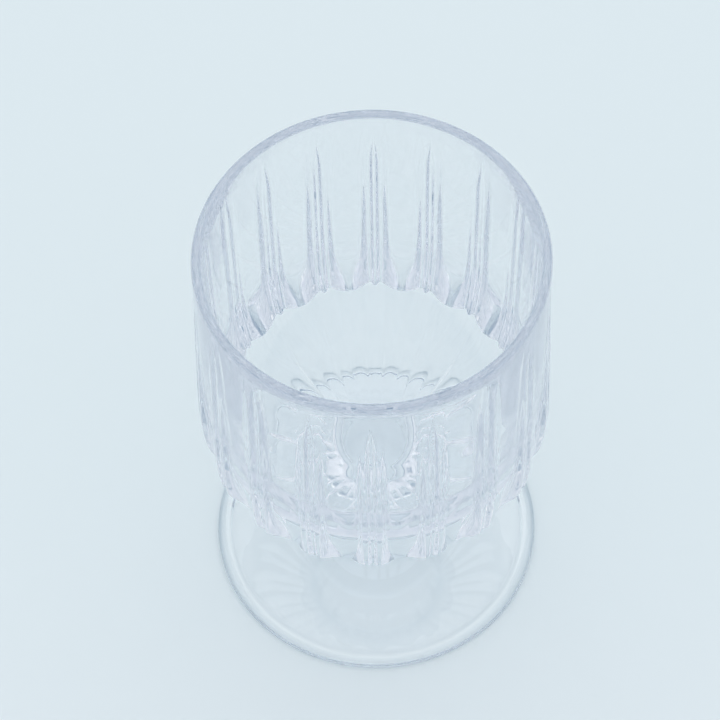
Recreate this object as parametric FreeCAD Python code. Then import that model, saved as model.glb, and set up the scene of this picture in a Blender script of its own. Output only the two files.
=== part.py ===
import FreeCAD, Part
import math
import os

# One-piece pressed goblet: fluted bowl, waisted stem and round foot.
# Millimetres and degrees. +Z is up, and the origin is the centre of the foot's underside.

# Bowl
total_height = 121.0          # foot underside to lip
rim_radius = 39.0             # outside of the bowl at the lip
shoulder_radius = 39.8        # outside of the bowl at its lower edge
shoulder_height = 53.7        # lower edge of the bowl, above the foot underside
rim_wall = 2.2                # glass between the outside and the inside at the lip
lip_round_share = 0.48        # of that wall, for each of the lip's two roundings
cavity_bottom = 43.4          # lowest point inside, above the foot underside
ball_flat = 0.2               # half width of the flat left in the round bottom inside

# Underside of the bowl and stem
knee_radius = 25.0            # where the sloping underside turns flatter
knee_height = 39.0
knee_round = 20.0
knee_flats = 3                # how many narrow flats make up that turn
waist_radius = 9.5            # the stem's narrowest part
waist_top = 29.0              # where the underside would meet the stem, before rounding
waist_bottom = 10.0           # where the foot would meet it
waist_round = 9.0             # rounding at both ends of the waist
waist_flats = 4               # how many narrow flats make up each of them

# Foot
foot_radius = 38.6
foot_edge = 2.4               # height of the upright edge
foot_edge_round = 1.1         # rounding at the top of that edge
foot_base_round = 0.5
foot_ring_width = 3.0         # flat ring that the goblet stands on
foot_hollow = 0.8             # height of the hollow inside that ring

# Ribs and the sunk panels between them
rib_count = 18
first_rib = -90.0             # turn from +X to the middle of the first rib
panel_start = 31.0            # lip to the point where a panel begins
panel_depth = 1.8             # depth in a panel's middle at the bowl's lower edge
panel_side_depth = 1.25       # depth beside a rib there
panel_side_slope = 0.8        # depth gained per millimetre across a rib's side
rib_half_top = 2.4            # middle of a rib to the panel, where the panel begins
rib_half_foot = 3.4           # middle of a rib to the panel floor at the lower edge
panel_shares = (-0.3, 0.3, 0.55, 0.8, 1.1)   # of a panel's length, where its sections lie

# Troughs under the bowl, in line with the panels; depths are square to the surface
ridge_half = 2.9              # middle of a rib to the ridge beside it, at the lower edge
trough_outer_depth = 1.0      # at the bowl's lower edge
trough_knee_depth = 1.1
trough_end_depth = 0.6        # where it stops, above the stem
trough_end_radius = 14.0

# Groove down the middle of each rib
groove_start = 8.5            # lip to the tip of a groove
groove_tip = 8.0              # length over which it opens to its first depth
groove_tip_depth = 0.45       # depth there
groove_depth = 0.85           # depth at the lower edge
groove_half_floor = 0.36
groove_half_top = 1.0
groove_point_depth = 0.02     # at the very tip
groove_point_share = 0.04     # of the full width, at the very tip

small_flats = 2               # how many narrow flats make up a small turn
ball_flats = 12               # how many make up the bowl's bottom inside
clear = 3.0                   # how far the cutters stand outside the glass
overrun = 1.0                 # how far a cutter's sloping sides run past the wall
seam_turn = 180.0             # turns a round cutter's seam out of the glass

cavity_radius = rim_radius - rim_wall
ball_round = cavity_radius - ball_flat
half_pitch = 180.0 / rib_count
bowl_length = total_height - shoulder_height
up = FreeCAD.Vector(0, 0, 1)
centre = FreeCAD.Vector(0, 0, 0)


def at(radius, height):
    return FreeCAD.Vector(radius, 0, height)


def polar(radius, angle, height):
    """Point at an angle, in degrees, from the +X direction."""
    turn = math.radians(angle)
    return FreeCAD.Vector(radius * math.cos(turn), radius * math.sin(turn), height)


def rounded_wire(corners):
    """Closed outline in the XZ plane; a corner with a rounding gets that many flats."""
    points = []
    for index, (point, rounding, flats) in enumerate(corners):
        before = (corners[index - 1][0] - point).normalize()
        after = (corners[(index + 1) % len(corners)][0] - point).normalize()
        if not flats:
            points.append(point)
            continue
        half = before.getAngle(after) / 2
        middle = point + (before + after).normalize() * (rounding / math.sin(half))
        arm = point + before * (rounding / math.tan(half)) - middle
        turn = 180 - 2 * math.degrees(half)
        axis = arm.cross(point - middle)
        for step in range(flats + 1):
            points.append(middle + FreeCAD.Rotation(axis, turn * step / flats).multVec(arm))
    return Part.makePolygon(points + points[:1])


def turned(corners):
    """Solid of revolution about Z from an outline with roundings."""
    return Part.Face(rounded_wire(corners)).revolve(centre, up, 360)


def wall_radius(height):
    """Outside radius of the plain bowl wall at a height."""
    share = (total_height - height) / bowl_length
    return rim_radius + share * (shoulder_radius - rim_radius)


def around(tool, first_angle):
    """Copies of a tool, one for each rib."""
    copies = []
    for index in range(rib_count):
        copy = tool.copy()
        copy.rotate(centre, up, first_angle + index * 2 * half_pitch)
        copies.append(copy)
    return copies


def plain_goblet():
    """The whole glass as it would be without flutes."""
    lip_round = rim_wall * lip_round_share
    return turned([
        (at(0, foot_hollow), 0, 0),
        (at(foot_radius - foot_ring_width - foot_hollow, foot_hollow), 0, 0),
        (at(foot_radius - foot_ring_width, 0), 0, 0),
        (at(foot_radius, 0), foot_base_round, 1),
        (at(foot_radius, foot_edge), foot_edge_round, small_flats),
        (at(waist_radius, waist_bottom), waist_round, waist_flats),
        (at(waist_radius, waist_top), waist_round, waist_flats),
        (at(knee_radius, knee_height), knee_round, knee_flats),
        (at(shoulder_radius, shoulder_height), 0, 0),
        (at(rim_radius, total_height), lip_round, small_flats),
        (at(cavity_radius, total_height), lip_round, small_flats),
        (at(cavity_radius, cavity_bottom), ball_round, ball_flats),
        (at(0, cavity_bottom), 0, 0),
    ])


def panel_section(height):
    """Section across a panel, with its floor bowed inwards, open to the outside."""
    share = (total_height - panel_start - height) / (bowl_length - panel_start)
    grown = share * abs(share)
    wall = wall_radius(height)
    side_depth = panel_side_depth * grown
    per_degree = math.radians(wall)
    foot = rib_half_top + (rib_half_foot - rib_half_top) * max(grown, 0)
    top = foot - (side_depth + overrun) / panel_side_slope
    foot_angle = half_pitch - foot / per_degree
    top_angle = half_pitch - top / per_degree
    left = polar(wall - side_depth, -foot_angle, height)
    right = polar(wall - side_depth, foot_angle, height)
    floor = Part.Arc(left, at(wall - panel_depth * grown, height), right).toShape()
    left_top = polar(wall + overrun, -top_angle, height)
    right_top = polar(wall + overrun, top_angle, height)
    outside = FreeCAD.Vector(clear, 0, 0)
    sides = Part.makePolygon([
        right, right_top, right_top + outside, left_top + outside, left_top, left,
    ])
    return Part.Wire([floor] + sides.Edges)


def panel_cutter():
    """Channel that deepens more and more down the wall and runs out at the lower edge."""
    length = bowl_length - panel_start
    heights = [total_height - panel_start - share * length for share in panel_shares]
    return Part.makeLoft([panel_section(height) for height in heights], True, True)


def trough(inner, inner_depth, outer, outer_depth, inner_over, outer_over):
    """Tapered round cutter along a straight part of the underside, below a panel.

    It runs from the inner to the outer point, and past them by the last two lengths.
    """
    run = (outer - inner).normalize()
    out = FreeCAD.Vector(run.z, 0, -run.x)
    length = outer.distanceToPoint(inner)
    half_angle = math.radians(half_pitch) - ridge_half / shoulder_radius
    rounds = []
    for point, depth in ((inner, inner_depth), (outer, outer_depth)):
        half = point.x * half_angle
        sag = depth - half ** 2 / (2 * point.x) * run.z
        rounds.append((half ** 2 + sag ** 2) / (2 * sag))

    def station(along):
        """Depth, rounding and middle of the cutter at a distance from the inner point."""
        share = along / length
        depth = inner_depth + (outer_depth - inner_depth) * share
        rounding = rounds[0] + (rounds[1] - rounds[0]) * share
        return depth, rounding, inner + run * along + out * (rounding - depth)

    near_depth, near, start = station(-inner_over)
    far_depth, far, end = station(length + outer_over)
    axis = end - start
    ceiling = axis - out * (far - near)
    lean = math.cos(axis.getAngle(ceiling))
    cutter = Part.makeCone(near / lean, far / lean, axis.Length, start, axis)
    cutter.rotate(start, axis, seam_turn)
    return cutter


def troughs():
    """The two straight lengths of the trough below a panel, that meet at the knee."""
    slope = (knee_height - waist_top) / (knee_radius - waist_radius)
    end = at(trough_end_radius, waist_top + (trough_end_radius - waist_radius) * slope)
    knee = at(knee_radius, knee_height)
    edge = at(shoulder_radius, shoulder_height)
    return [
        trough(end, trough_end_depth, knee, trough_knee_depth, 0, clear),
        trough(knee, trough_knee_depth, edge, trough_outer_depth, clear, clear),
    ]


def groove_section(height, depth, opening):
    """Section across a groove: flat floor and sloping sides, open to the outside."""
    wall = wall_radius(height)
    floor = groove_half_floor * opening
    slope = (groove_half_top - groove_half_floor) * opening / depth
    top = floor + slope * (depth + overrun)
    corners = [
        FreeCAD.Vector(wall - depth, -floor, height),
        FreeCAD.Vector(wall - depth, floor, height),
        FreeCAD.Vector(wall + overrun, top, height),
        FreeCAD.Vector(wall + overrun, -top, height),
    ]
    return Part.makePolygon(corners + corners[:1])


def groove_cutter():
    """Narrow channel from a fine tip below the lip to the lower edge, where it runs out."""
    first = total_height - groove_start
    sections = [
        groove_section(first, groove_point_depth, groove_point_share),
        groove_section(first - groove_tip, groove_tip_depth, 1),
        groove_section(shoulder_height - clear, groove_depth, 1),
    ]
    return Part.makeLoft(sections, True, True)


def goblet():
    first_panel = first_rib + half_pitch
    tools = around(panel_cutter(), first_panel) + around(groove_cutter(), first_rib)
    for cutter in troughs():
        tools += around(cutter, first_panel)
    return plain_goblet().cut(tools)


os.makedirs("parts", exist_ok=True)
shape = goblet()
if len(shape.Solids) == 1:
    shape = shape.Solids[0]
print("valid", shape.isValid(), "solids", len(shape.Solids), "faces", len(shape.Faces))
print("volume ml", round(shape.Volume / 1000, 1), "box", shape.BoundBox)
shape.exportStep("parts/goblet.step")
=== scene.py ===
import math
import bmesh
import bpy
import numpy as np
from mathutils import Matrix, Vector


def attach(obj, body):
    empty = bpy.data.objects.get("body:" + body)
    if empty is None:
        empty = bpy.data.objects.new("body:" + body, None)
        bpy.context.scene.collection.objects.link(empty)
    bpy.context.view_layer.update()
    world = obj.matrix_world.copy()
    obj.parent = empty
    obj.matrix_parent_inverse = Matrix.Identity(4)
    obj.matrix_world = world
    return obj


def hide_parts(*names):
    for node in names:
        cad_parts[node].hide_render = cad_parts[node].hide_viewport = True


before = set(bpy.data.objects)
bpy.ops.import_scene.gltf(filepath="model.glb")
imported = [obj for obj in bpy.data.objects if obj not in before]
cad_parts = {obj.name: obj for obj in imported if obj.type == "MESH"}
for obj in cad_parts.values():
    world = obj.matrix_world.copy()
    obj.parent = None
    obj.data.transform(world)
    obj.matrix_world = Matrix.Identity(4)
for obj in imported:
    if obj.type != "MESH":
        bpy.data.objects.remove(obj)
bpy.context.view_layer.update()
scene = bpy.context.scene
mm = 0.001
tiny = 1e-6                     # keeps a division clear of nought


class Value:
    # a socket that takes part in sums and products
    def __init__(self, graph, socket):
        self.graph = graph
        self.socket = socket

    def combine(self, operation, first, second):
        node = self.graph.add("Math", {"operation": operation}, {0: first, 1: second})
        return Value(self.graph, node.outputs[0])

    def __add__(self, other):
        return self.combine("ADD", self, other)

    def __radd__(self, other):
        return self.combine("ADD", other, self)

    def __mul__(self, other):
        return self.combine("MULTIPLY", self, other)

    def __rmul__(self, other):
        return self.combine("MULTIPLY", other, self)


class Graph:
    def __init__(self, tree):
        self.tree = tree

    def set(self, node, values):
        for name, value in values.items():
            socket = node.inputs[name]
            if isinstance(value, Value):
                value = value.socket
            if isinstance(value, bpy.types.NodeSocket):
                self.tree.links.new(value, socket)
            else:
                socket.default_value = value

    def add(self, kind, settings=None, values=None):
        node = self.tree.nodes.new("ShaderNode" + kind)
        for name, value in (settings or {}).items():
            setattr(node, name, value)
        self.set(node, values or {})
        return node

    def coordinates(self, output):
        return self.add("TexCoord").outputs[output]

    def part(self, place, axis):
        return self.add("SeparateXYZ", None, {"Vector": place}).outputs[axis]

    def noise(self, place, scale, detail):
        node = self.add("TexNoise", None, {"Vector": place, "Scale": scale, "Detail": detail})
        return Value(self, node.outputs["Fac"])

    def ramp(self, value, low, high):
        # 0 below the low value, 1 above the high one
        node = self.add(
            "MapRange",
            {"interpolation_type": "SMOOTHSTEP"},
            {"Value": value, "From Min": low, "From Max": high},
        )
        return Value(self, node.outputs["Result"])

    def blend(self, factor, first, second):
        node = self.add("Mix", {"data_type": "RGBA"})
        colours = [socket for socket in node.inputs if socket.type == "RGBA"]
        self.set(node, {0: factor})
        for socket, colour in zip(colours, (first, second)):
            if isinstance(colour, bpy.types.NodeSocket):
                self.tree.links.new(colour, socket)
            else:
                socket.default_value = (*colour, 1)
        return next(socket for socket in node.outputs if socket.type == "RGBA")


goblet = {
    # millimetres and degrees; heights are above the foot's underside
    "height": 121.0,
    "rimRadius": 39.0,
    "shoulderRadius": 39.8,     # the bowl's lower edge
    "shoulderHeight": 53.7,
    "lipRound": 1.056,
    "cavityRadius": 36.8,       # inside, at the lip
    "cavityDraft": 1.7,         # the inside narrows downwards
    "cavityFloor": 47.4,
    "cavityRound": 30.0,
    "kneeRadius": 25.0,         # where the sloping underside turns flatter
    "kneeHeight": 39.0,
    "kneeRound": 20.0,
    "kneeRows": 11,             # steps from there to the lower edge
    "waistRadius": 9.5,
    "waistTop": 29.0,
    "waistBottom": 10.0,
    "waistRound": 9.0,
    "footRadius": 38.6,
    "footEdge": 1.5,            # the upright part of the foot's edge
    "footEdgeRound": 0.6,
    "bevelRadius": 36.9,        # inner end of the slope above that edge
    "bevelHeight": 2.85,
    "bevelRound": 1.5,
    "footBaseRound": 0.4,
    "footRing": 3.0,            # what the goblet stands on
    "footHollow": 0.8,
    "footHollowRound": 0.6,
    "ribs": 18,
    "spin": -1.7,               # turn of the whole pattern
}

ribs = {
    # offsets are millimetres from a rib's middle at the bowl's lower edge,
    # and lengths down the wall start at the lip
    "grooveStart": 8.5,
    "grooveTip": 8.0,           # length over which the groove opens
    "grooveDepths": (0.36, 0.65),   # after the tip and at the lower edge
    "grooveFloor": 0.36,
    "grooveTop": 1.0,
    "narrowest": 0.3,           # share of the groove's width kept at its tip
    "crestSide": (2.4, 1.85),   # where the flanks start and at the lower edge
    "panelStart": 25.0,
    "panelFade": 4.0,
    "sideGain": 0.022,          # depth beside a rib, gained per millimetre
    "sideLate": 0.5,            # more of it near the lower edge
    "bowLate": 1.1,             # and in the panel's middle
    "lateCurve": 5,             # the higher, the later
    "bowReach": 1.2,            # times the way from a panel's middle to a flank's foot
    "flankStart": 33.0,
    "flankFoot": (2.7, 3.4),    # there and at the lower edge
    "flankSpan": (30.0, 48.0),  # where the flanks grow steeper
    "flankSlopes": (0.42, 0.9),
    "soft": 0.2,
    "bulge": 0.6,               # how far the ribs stand out
    "leanStart": 54.0,          # and where they begin to lean in
    "lean": 0.0065,
    "edgeFade": 9.0,            # how far up the arches bend the wall's rows
    "ridge": 2.9,               # between the troughs underneath
    "softRidge": 0.22,
    "shallow": 0.02,            # a trough less deep than this is left out
    "troughRadii": (13.7, 14.1, 25.0, 39.8),
    "troughDepths": (0.0, 0.52, 0.8, 0.9),
    "ribTroughRadii": (13.7, 14.1, 21.5, 31.0),
    "ribTroughDepths": (0.0, 0.33, 0.42, 0.0),
    "columns": (2, 4, 3, 4, 1, 6),   # steps between the marks, rib to panel
}


def outlineRows(corners):
    # a corner is r, z, rounding, steps round it and steps to the next one
    points, steps = [], 0
    for index, (r, z, rounding, roundSteps, runSteps) in enumerate(corners):
        here = Vector((r, z))
        if not rounding:
            arc = [here]
        else:
            before = (Vector(corners[index - 1][:2]) - here).normalized()
            after = (Vector(corners[index + 1][:2]) - here).normalized()
            half = before.angle(after) / 2
            reach = rounding / math.tan(half)
            centre = here + (before + after).normalized() * rounding / math.sin(half)
            start = here + before * reach - centre
            turn = start.angle_signed(here + after * reach - centre)
            arc = [centre + Matrix.Rotation(-turn * step / roundSteps, 2) @ start
                   for step in range(roundSteps + 1)]
        if points:
            last = points[-1]
            points += [last.lerp(arc[0], step / steps) for step in range(1, steps)]
        points += arc
        steps = runSteps
    return np.array([tuple(point) for point in points])


def gobletOutline(g):
    # from the middle of the foot's hollow, round the outside and over the lip
    ringRadius = g["footRadius"] - g["footRing"]
    cavityDepth = g["height"] - g["cavityFloor"]
    cavityLow = g["cavityRadius"] - cavityDepth * math.tan(math.radians(g["cavityDraft"]))
    return outlineRows([
        (0, g["footHollow"], 0, 0, 2),
        (ringRadius - g["footHollow"], g["footHollow"], g["footHollowRound"], 2, 1),
        (ringRadius, 0, g["footHollowRound"], 2, 1),
        (g["footRadius"], 0, g["footBaseRound"], 2, 1),
        (g["footRadius"], g["footEdge"], g["footEdgeRound"], 3, 1),
        (g["bevelRadius"], g["bevelHeight"], g["bevelRound"], 3, 9),
        (g["waistRadius"], g["waistBottom"], g["waistRound"], 8, 1),
        (g["waistRadius"], g["waistTop"], g["waistRound"], 8, 6),
        (g["kneeRadius"], g["kneeHeight"], g["kneeRound"], 5, g["kneeRows"]),
        (g["shoulderRadius"], g["shoulderHeight"], 0, 0, 27),
        (g["rimRadius"], g["height"], g["lipRound"], 5, 1),
        (g["cavityRadius"], g["height"], g["lipRound"], 5, 8),
        (cavityLow, g["cavityFloor"], g["cavityRound"], 21, 1),
        (0, g["cavityFloor"], 0, 0, 0),
    ])


def halfPitch(g):
    # from a rib's middle to a panel's, at the bowl's lower edge
    return math.pi / g["ribs"] * g["shoulderRadius"]


def columnMarks(g, w):
    return [0, w["grooveFloor"], w["grooveTop"], w["crestSide"][1], w["flankFoot"][1], halfPitch(g)]


def columnOffsets(g, w):
    # from the panel on one side of a rib up to the panel on the other
    marks = sorted(columnMarks(g, w) + [w["ridge"]])
    side = [0.0]
    for low, high, steps in zip(marks, marks[1:], w["columns"]):
        side += [low + (high - low) * step / steps for step in range(1, steps + 1)]
    return np.array([-offset for offset in side[:0:-1]] + side[:-1])


def shiftColumns(g, w, off, z):
    # follows the edges of the groove and the flanks up the wall
    below = g["height"] - z
    span = (w["flankStart"], g["height"] - g["shoulderHeight"])
    opened = np.clip((below - w["grooveStart"]) / w["grooveTip"], w["narrowest"], 1)
    marks = columnMarks(g, w)
    moved = [
        0 * z,
        w["grooveFloor"] * opened,
        w["grooveTop"] * opened,
        np.interp(below, span, w["crestSide"]),
        np.interp(below, span, w["flankFoot"]),
        halfPitch(g) + 0 * z,
    ]
    result = 0 * z
    for low, high, newLow, newHigh in zip(marks, marks[1:], moved, moved[1:]):
        inside = (off >= low) & (off <= high)
        share = (off - low) / (high - low)
        result = np.where(inside, newLow + (newHigh - newLow) * share, result)
    return result


def softMax(a, b, width):
    gap = np.clip(width - np.abs(a - b), 0, None)
    return np.maximum(a, b) + gap * gap / (4 * width)


def smoothStep(x):
    x = np.clip(x, 0, 1)
    return x * x * (3 - 2 * x)


def panelDepth(g, w, off, below, length):
    start = w["panelStart"]
    late = np.clip((below - start) / (length - start), 0, None) ** w["lateCurve"]
    beside = w["sideGain"] * np.clip(below - start, 0, None) + w["sideLate"] * late
    foot = np.interp(below, (w["flankStart"], length), w["flankFoot"])
    across = np.clip((halfPitch(g) - off) / (halfPitch(g) - foot), 0, w["bowReach"])
    floor = beside + w["bowLate"] * late * (1 - across * across)
    flank = beside + (off - foot) * np.interp(below, w["flankSpan"], w["flankSlopes"])
    depth = softMax(-softMax(-flank, -floor, w["soft"]), 0, w["soft"])
    return depth * smoothStep((below - start) / w["panelFade"])


def grooveDepth(w, off, below, length):
    opened = np.clip((below - w["grooveStart"]) / w["grooveTip"], 0, 1)
    tipEnd = w["grooveStart"] + w["grooveTip"]
    full = np.interp(below, (tipEnd, length), w["grooveDepths"]) * opened
    top, flat = w["grooveTop"] * opened + tiny, w["grooveFloor"] * opened
    return full * np.clip((top - off) / (top - flat), 0, 1)


def crestDepth(w, off, below):
    # below nought where a rib stands out of the plain form
    lean = w["lean"] * np.clip(below - w["leanStart"], 0, None) ** 2
    lean = lean - w["bulge"] * smoothStep(below / w["leanStart"])
    side, foot = w["crestSide"][1], w["flankFoot"][1]
    return lean * smoothStep((foot - off) / (foot - side))


def wallDepth(g, w, off, z):
    # how far the wall lies inside the plain turned form
    below = g["height"] - z
    length = g["height"] - g["shoulderHeight"]
    depth = panelDepth(g, w, off, below, length) + grooveDepth(w, off, below, length)
    return depth + crestDepth(w, off, below)


def underDepth(g, w, off, r, sine):
    # how far the underside lies inside the plain form, square to it
    across = r / g["shoulderRadius"]
    ridge = w["ridge"] * across
    bulge = sine / (2 * r + tiny)   # of the plain form, per millimetre squared
    depth = np.interp(r, w["troughRadii"], w["troughDepths"])
    width = halfPitch(g) * across - ridge
    sag = np.maximum(depth - width * width * bulge, w["shallow"] / 2)
    rounding = (width * width + sag * sag) / (2 * sag)
    y = (halfPitch(g) - off) * across
    arch = np.sqrt(np.clip(rounding * rounding - y * y, 0, None))
    panel = np.where(depth > w["shallow"], depth - rounding + arch - y * y * bulge, 0)
    rib = np.interp(r, w["ribTroughRadii"], w["ribTroughDepths"])
    rib = rib * (1 - (off * across / (ridge + tiny)) ** 2)
    deep = softMax(softMax(panel, rib, w["softRidge"]), 0, w["softRidge"])
    return deep * (r > w["troughRadii"][0])


def spinGoblet(g, line, steps):
    # one pitch is spun, then copied round; a vertex keeps the number of its row
    mesh = bmesh.new()
    rows = mesh.verts.layers.int.new("row")
    verts = []
    for index, (r, z) in enumerate(line):
        vert = mesh.verts.new((r * mm, 0, z * mm))
        vert[rows] = index
        verts.append(vert)
    edges = [mesh.edges.new(pair) for pair in zip(verts, verts[1:])]
    pitch = math.tau / g["ribs"]
    bmesh.ops.spin(mesh, geom=verts + edges, cent=(0, 0, 0), axis=(0, 0, 1),
                   angle=pitch, steps=steps)
    wedge = mesh.verts[:] + mesh.edges[:] + mesh.faces[:]
    for index in range(1, g["ribs"]):
        copy = bmesh.ops.duplicate(mesh, geom=wedge)["geom"]
        moved = [element for element in copy if isinstance(element, bmesh.types.BMVert)]
        bmesh.ops.rotate(mesh, verts=moved, cent=(0, 0, 0),
                         matrix=Matrix.Rotation(pitch * index, 3, "Z"))
    bmesh.ops.remove_doubles(mesh, verts=mesh.verts, dist=0.001 * mm)
    bmesh.ops.recalc_face_normals(mesh, faces=mesh.faces)
    return mesh


def flute(g, w, line, shoulderRow, offsets, row, places):
    # moves the vertices of the plain goblet to its ribs, panels and troughs
    columns = g["ribs"] * len(offsets)
    turn = np.arctan2(places[:, 1], places[:, 0]) / math.tau
    column = np.round(turn * columns).astype(int) % columns
    offset = offsets[column % len(offsets)]
    r, z = line[row].T.copy()
    rs, zs = g["shoulderRadius"], g["shoulderHeight"]
    off = shiftColumns(g, w, np.abs(offset), np.maximum(z, zs))
    angle = math.tau / g["ribs"] * (column // len(offsets)) + np.sign(offset) * off / rs

    # wall and underside meet in one line of arches
    slope = (zs - g["kneeHeight"]) / (rs - g["kneeRadius"])
    tilt = math.atan(slope)
    edgeDepth = wallDepth(g, w, off, np.full(len(off), zs))
    edgeUnder = underDepth(g, w, off, rs - edgeDepth, math.sin(tilt))
    edgeRise = edgeUnder / math.cos(tilt) - edgeDepth * slope

    # the underside's straight length ends where the wall now is
    kneeEnd = line[shoulderRow - g["kneeRows"], 0]
    under = (row < shoulderRow) & (z > g["waistTop"])
    straight = under & (r > kneeEnd)
    share = (r[straight] - kneeEnd) / (rs - kneeEnd)
    r[straight] = kneeEnd + (rs - edgeDepth[straight] - kneeEnd) * share
    z[straight] = zs + (r[straight] - rs) * slope
    along = np.gradient(line, axis=0)
    along = np.abs(along / np.linalg.norm(along, axis=1)[:, None])[row[under]]
    lift = underDepth(g, w, off[under], r[under], along[:, 1])
    z[under] += lift / np.maximum(along[:, 0], math.cos(tilt) / 2)

    wall = (row >= shoulderRow) & (row < int(np.argmax(line[:, 1])))
    r[wall] -= wallDepth(g, w, off[wall], z[wall])
    fade = np.clip(1 - (z[wall] - zs) / w["edgeFade"], 0, 1) ** 2
    z[wall] += edgeRise[wall] * fade
    front = math.radians(g["spin"] - 90)
    return np.stack([r * np.cos(angle + front), r * np.sin(angle + front), z], 1)


def makeGoblet(g, w):
    line = gobletOutline(g)
    offsets = columnOffsets(g, w)
    mesh = spinGoblet(g, line, len(offsets))
    shoulder = np.array((g["shoulderRadius"], g["shoulderHeight"]))
    shoulderRow = int(np.argmin(np.linalg.norm(line - shoulder, axis=1)))
    rows = mesh.verts.layers.int["row"]
    for edge in mesh.edges:
        if edge.verts[0][rows] == shoulderRow == edge.verts[1][rows]:
            edge.smooth = False
    data = bpy.data.meshes.new("gobletGlass")
    mesh.to_mesh(data)
    mesh.free()
    count = len(data.vertices)
    places = np.empty(count * 3)
    data.vertices.foreach_get("co", places)
    row = np.empty(count, dtype=np.int32)
    data.attributes["row"].data.foreach_get("value", row)
    data.attributes.remove(data.attributes["row"])
    places = flute(g, w, line, shoulderRow, offsets, row, places.reshape(-1, 3))
    data.vertices.foreach_set("co", (places * mm).ravel())
    data.shade_smooth()
    data.update()
    piece = bpy.data.objects.new("gobletGlass", data)
    scene.collection.objects.link(piece)
    print("goblet shaped:", len(line), "rows,", count, "vertices")
    return piece


glassLook = {
    "colour": (0.992, 0.996, 1.0),
    "ior": 1.5,
    "tint": (0.17, 0.30, 0.48),     # what a long way through the glass leaves
    "density": 3.1,
    "waveScale": 70.0,          # slow waves of pressed glass
    "waveDetail": 1.0,
    "skinScale": 420.0,         # and a finer skin
    "skinDetail": 2.0,
    "skinShare": 0.15,
    "bump": 0.006,              # millimetres
}


def clearGlass(look):
    material = bpy.data.materials.new("clearGlass")
    material.use_nodes = True
    graph = Graph(material.node_tree)
    place = graph.coordinates("Object")
    waves = graph.noise(place, look["waveScale"], look["waveDetail"])
    skin = graph.noise(place, look["skinScale"], look["skinDetail"])
    height = waves * (1 - look["skinShare"]) + skin * look["skinShare"]
    bump = graph.add("Bump", None, {
        "Height": height,
        "Distance": look["bump"] * mm,
        "Strength": 1.0,
    })
    graph.set(material.node_tree.nodes["Principled BSDF"], {
        "Base Color": (*look["colour"], 1),
        "Roughness": 0.0,
        "IOR": look["ior"],
        "Transmission Weight": 1.0,
        "Normal": bump.outputs["Normal"],
    })
    inside = graph.add("VolumeAbsorption", None, {
        "Color": (*look["tint"], 1),
        "Density": look["density"],
    })
    graph.set(material.node_tree.nodes["Material Output"], {"Volume": inside.outputs["Volume"]})
    return material


glass = makeGoblet(goblet, ribs)
glass.data.materials.append(clearGlass(glassLook))
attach(glass, "root")
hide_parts("goblet")
print("glass dressed")

table = {
    # metres
    "size": 2.0,
    "gap": -0.00005,            # just clear of the foot
    # painted shade: the near colour, a touch darker, stands in for shade falling over the table's
    # front
    "near": (0.702, 0.757, 0.782),
    "far": (0.690, 0.762, 0.783),
    "shadeSpan": (-0.12, 0.05),    # where the painted shade on the table's front gives way to the lit far colour
    "mottle": 0.048,            # share of the darker shade
    "mottleShade": 0.976,
    "mottleScale": 900.0,
    "mottleDetail": 3.0,
    "roughness": 0.9,
    "roughnessGrain": 0.05,
    "specular": 0.1,
}


def paleTable(t):
    material = bpy.data.materials.new("paleTable")
    material.use_nodes = True
    graph = Graph(material.node_tree)
    place = graph.coordinates("Object")
    # painted shade: the near colour at the front fades into the far one behind
    fade = graph.ramp(graph.part(place, "Y"), *t["shadeSpan"])
    grain = graph.noise(place, t["mottleScale"], t["mottleDetail"])
    darker = tuple(channel * t["mottleShade"] for channel in t["far"])
    colour = graph.blend(grain * t["mottle"], graph.blend(fade, t["near"], t["far"]), darker)
    graph.set(material.node_tree.nodes["Principled BSDF"], {
        "Base Color": colour,
        "Roughness": t["roughness"] + grain * t["roughnessGrain"],
        "Specular IOR Level": t["specular"],
    })
    return material


def makeTable(t):
    mesh = bmesh.new()
    bmesh.ops.create_grid(mesh, x_segments=1, y_segments=1, size=t["size"])
    data = bpy.data.meshes.new("tableTop")
    mesh.to_mesh(data)
    mesh.free()
    data.materials.append(paleTable(t))
    top = bpy.data.objects.new("tableTop", data)
    top.location.z = t["gap"]
    scene.collection.objects.link(top)
    return top


floor = makeTable(table)
print("table ready")

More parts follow.
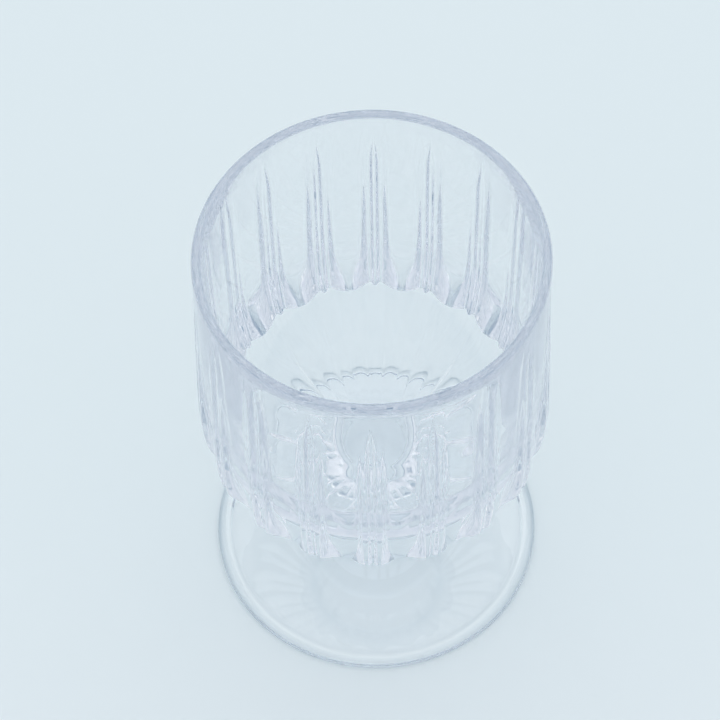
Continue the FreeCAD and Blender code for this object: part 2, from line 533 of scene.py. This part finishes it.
sky = {
    "horizon": (0.22, 0.33, 0.46),
    "zenith": (1.27, 1.27, 1.27),
    "full": 0.95,               # upward part of a direction that sees the zenith's colour
    "window": (0.08, 0.60, 0.79),   # towards the light behind the goblet
    "windowEdge": (0.84, 0.93),     # cosines of its soft edge
    "windowLight": 0.3,
}


def makeSky(s):
    world = bpy.data.worlds.new("studio")
    scene.world = world
    world.use_nodes = True
    graph = Graph(world.node_tree)
    place = graph.coordinates("Generated")
    rise = graph.ramp(graph.part(place, "Z"), 0.0, s["full"])
    towards = Vector(s["window"]).normalized()
    facing = graph.add("VectorMath", {"operation": "DOT_PRODUCT"}, {0: place, 1: towards})
    window = graph.ramp(facing.outputs["Value"], *s["windowEdge"])
    graph.set(world.node_tree.nodes["Background"], {
        "Color": graph.blend(rise, s["horizon"], s["zenith"]),
        "Strength": 1.0 + window * s["windowLight"],
    })


makeSky(sky)
print("sky ready")

view = {
    "lens": 175.0,
    "sensor": 36.0,
    "clip": (0.01, 10.0),       # metres
    "fromLip": (-3.02, -413.4, 630.36),   # from the middle of the lip's circle
    "tilt": 31.55,
    "roll": -1.36,
    "bounces": 32,              # light turns many times inside the ribs
}


def makeCamera(v, lipHeight):
    lens = bpy.data.cameras.new("camera")
    lens.lens = v["lens"]
    lens.sensor_width = v["sensor"]
    lens.clip_start, lens.clip_end = v["clip"]
    camera = bpy.data.objects.new("camera", lens)
    spot = (Vector(v["fromLip"]) + Vector((0, 0, lipHeight))) * mm
    tilt = Matrix.Rotation(math.radians(v["tilt"]), 4, "X")
    roll = Matrix.Rotation(math.radians(v["roll"]), 4, "Z")
    camera.matrix_world = Matrix.Translation(spot) @ tilt @ roll
    scene.collection.objects.link(camera)
    scene.camera = camera


makeCamera(view, goblet["height"])
scene.view_settings.view_transform = "Standard"
scene.cycles.max_bounces = view["bounces"]
scene.cycles.glossy_bounces = view["bounces"]
scene.cycles.transmission_bounces = view["bounces"]
scene.cycles.blur_glossy = 0.0
print("camera ready")
